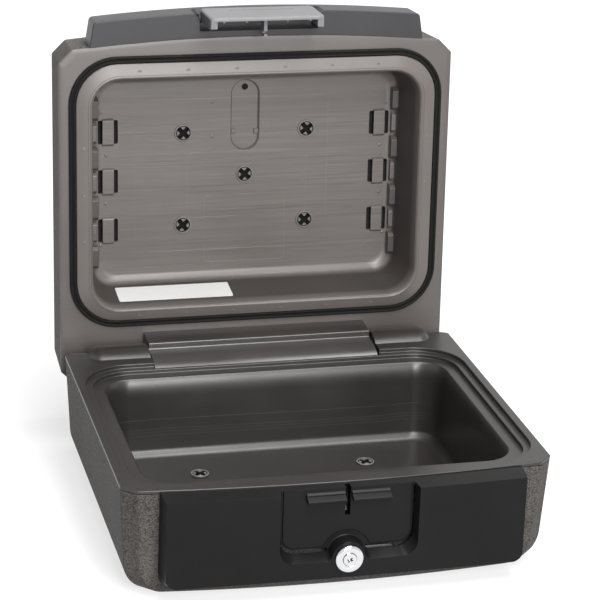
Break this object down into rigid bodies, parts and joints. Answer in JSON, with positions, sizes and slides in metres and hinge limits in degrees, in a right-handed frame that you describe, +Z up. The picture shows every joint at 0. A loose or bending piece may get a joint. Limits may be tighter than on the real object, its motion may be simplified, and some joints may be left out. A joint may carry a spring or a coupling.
{
  "type": "portable car safe",
  "caption": "Portable lockable fire-resistant chest with a hinged moulded lid, a flip latch on a grip bar and a key lock on the front panel.",
  "frame": {"origin": "centre of the base's underside, below the middle of the case outline", "axes": "+Z up, -Y towards the front panel and lock, +X to the right as seen from the front"},
  "size_m": [0.39, 0.4729, 0.4364],
  "materials": {
    "case_plastic": "fine crinkle texture, warm dark grey",
    "base_liner_plastic": "satin, warm dark grey",
    "lid_liner_plastic": "satin, warm mid grey",
    "fill": "rough, light grey",
    "plug_plastic": "satin",
    "black_plastic": "satin black",
    "grip_plastic": "satin, blue grey",
    "latch_plastic": "satin, light grey",
    "seal_rubber": "matt",
    "label_paper": "matt white",
    "lock_chrome": "polished",
    "steel": "plain"
  },
  "bodies": {
    "base": {"base_shell": "case_plastic", "base_liner": "base_liner_plastic", "base_insulation": "fill", "base_fill_plug_1": "plug_plastic", "base_fill_plug_2": "plug_plastic", "base_fill_plug_3": "plug_plastic", "base_fill_plug_4": "plug_plastic", "base_fill_plug_5": "plug_plastic", "hinge_rod": "steel", "front_panel": "black_plastic", "panel_screw_1": "steel", "panel_screw_2": "steel", "panel_screw_3": "steel", "panel_screw_4": "steel", "lock_body": "lock_chrome", "lock_nut": "steel"},
    "lock": {"lock_plug": "lock_chrome", "lock_cam": "steel", "lock_cam_screw": "steel"},
    "lid": {"lid_shell": "case_plastic", "lid_liner": "lid_liner_plastic", "lid_insulation": "fill", "lid_fill_plug_1": "plug_plastic", "lid_fill_plug_2": "plug_plastic", "lid_fill_plug_3": "plug_plastic", "lid_fill_plug_4": "plug_plastic", "lid_fill_plug_5": "plug_plastic", "lid_gasket": "seal_rubber", "care_label": "label_paper", "hinge_strap": "base_liner_plastic", "strap_screw_1": "steel", "strap_screw_2": "steel", "strap_screw_3": "steel", "strap_screw_4": "steel", "grip_bar": "grip_plastic", "grip_screw_1": "steel", "grip_screw_2": "steel", "grip_screw_3": "steel", "grip_screw_4": "steel", "latch_pin": "steel", "latch_washer_left": "steel", "latch_washer_right": "steel"},
    "latch": {"latch_cover": "latch_plastic", "latch_tongue": "latch_plastic"}
  },
  "joints": [
    {"name": "lid_hinge", "type": "hinge", "parent": "base", "child": "lid", "pos_m": [0, 0.159, 0.0787], "axis": [1, 0, 0], "range_deg": [0, 92.27]},
    {"name": "latch_pivot", "type": "hinge", "parent": "lid", "child": "latch", "pos_m": [0, 0.2091, 0.42549], "axis": [-1, 0, 0], "range_deg": [-6, 75]},
    {"name": "lock_turn", "type": "hinge", "parent": "base", "child": "lock", "pos_m": [0, -0.173, 0.041], "axis": [0, -1, 0], "range_deg": [0, 90]}
  ]
}
